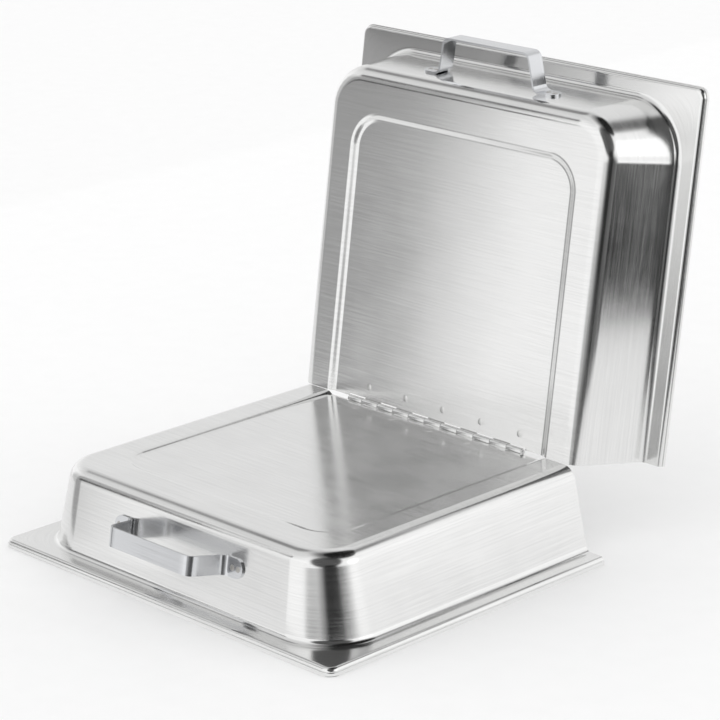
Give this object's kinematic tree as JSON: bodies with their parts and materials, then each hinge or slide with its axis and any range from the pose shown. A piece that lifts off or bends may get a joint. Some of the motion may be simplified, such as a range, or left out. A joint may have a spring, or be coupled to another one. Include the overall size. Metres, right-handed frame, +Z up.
{
  "type": "hinged dome cover for a chafing dish pan",
  "caption": "Hinged dome cover for a full-size food pan, with rounded half domes, flat hemmed rims, recessed top panels, strip handles and a piano hinge.",
  "frame": {"origin": "on the ground at the middle of the front rim, on the underside of its hem", "axes": "+Y from the front handle towards the hinge, +X along the hinge, +Z up"},
  "size_m": [0.33, 0.3805, 0.337],
  "materials": {
    "shell_steel": "satin brushed",
    "handle_steel": "brushed strip with rolled edges",
    "hinge_steel": "bright rolled",
    "pin_steel": "drawn wire",
    "rivet_steel": "flush, dressed with the panel",
    "weld_steel": "dimpled, lightly heat tinted"
  },
  "bodies": {
    "front_half": {"front_shell": "shell_steel", "front_hinge_leaf": "hinge_steel", "front_handle": "handle_steel", "front_hinge_rivet_1": "rivet_steel", "front_hinge_rivet_2": "rivet_steel", "front_hinge_rivet_3": "rivet_steel", "front_hinge_rivet_4": "rivet_steel", "front_hinge_rivet_5": "rivet_steel", "front_handle_left_welds": "weld_steel", "front_handle_right_welds": "weld_steel", "hinge_pin": "pin_steel"},
    "rear_half": {"rear_shell": "shell_steel", "rear_hinge_leaf": "hinge_steel", "rear_handle": "handle_steel", "rear_hinge_rivet_1": "rivet_steel", "rear_hinge_rivet_2": "rivet_steel", "rear_hinge_rivet_3": "rivet_steel", "rear_hinge_rivet_4": "rivet_steel", "rear_hinge_rivet_5": "rivet_steel", "rear_handle_left_welds": "weld_steel", "rear_handle_right_welds": "weld_steel"}
  },
  "joints": [
    {"name": "cover_hinge", "type": "hinge", "parent": "front_half", "child": "rear_half", "pos_m": [0, 0.2702, 0.0634], "axis": [1, 0, 0], "range_deg": [-82, 0]}
  ]
}
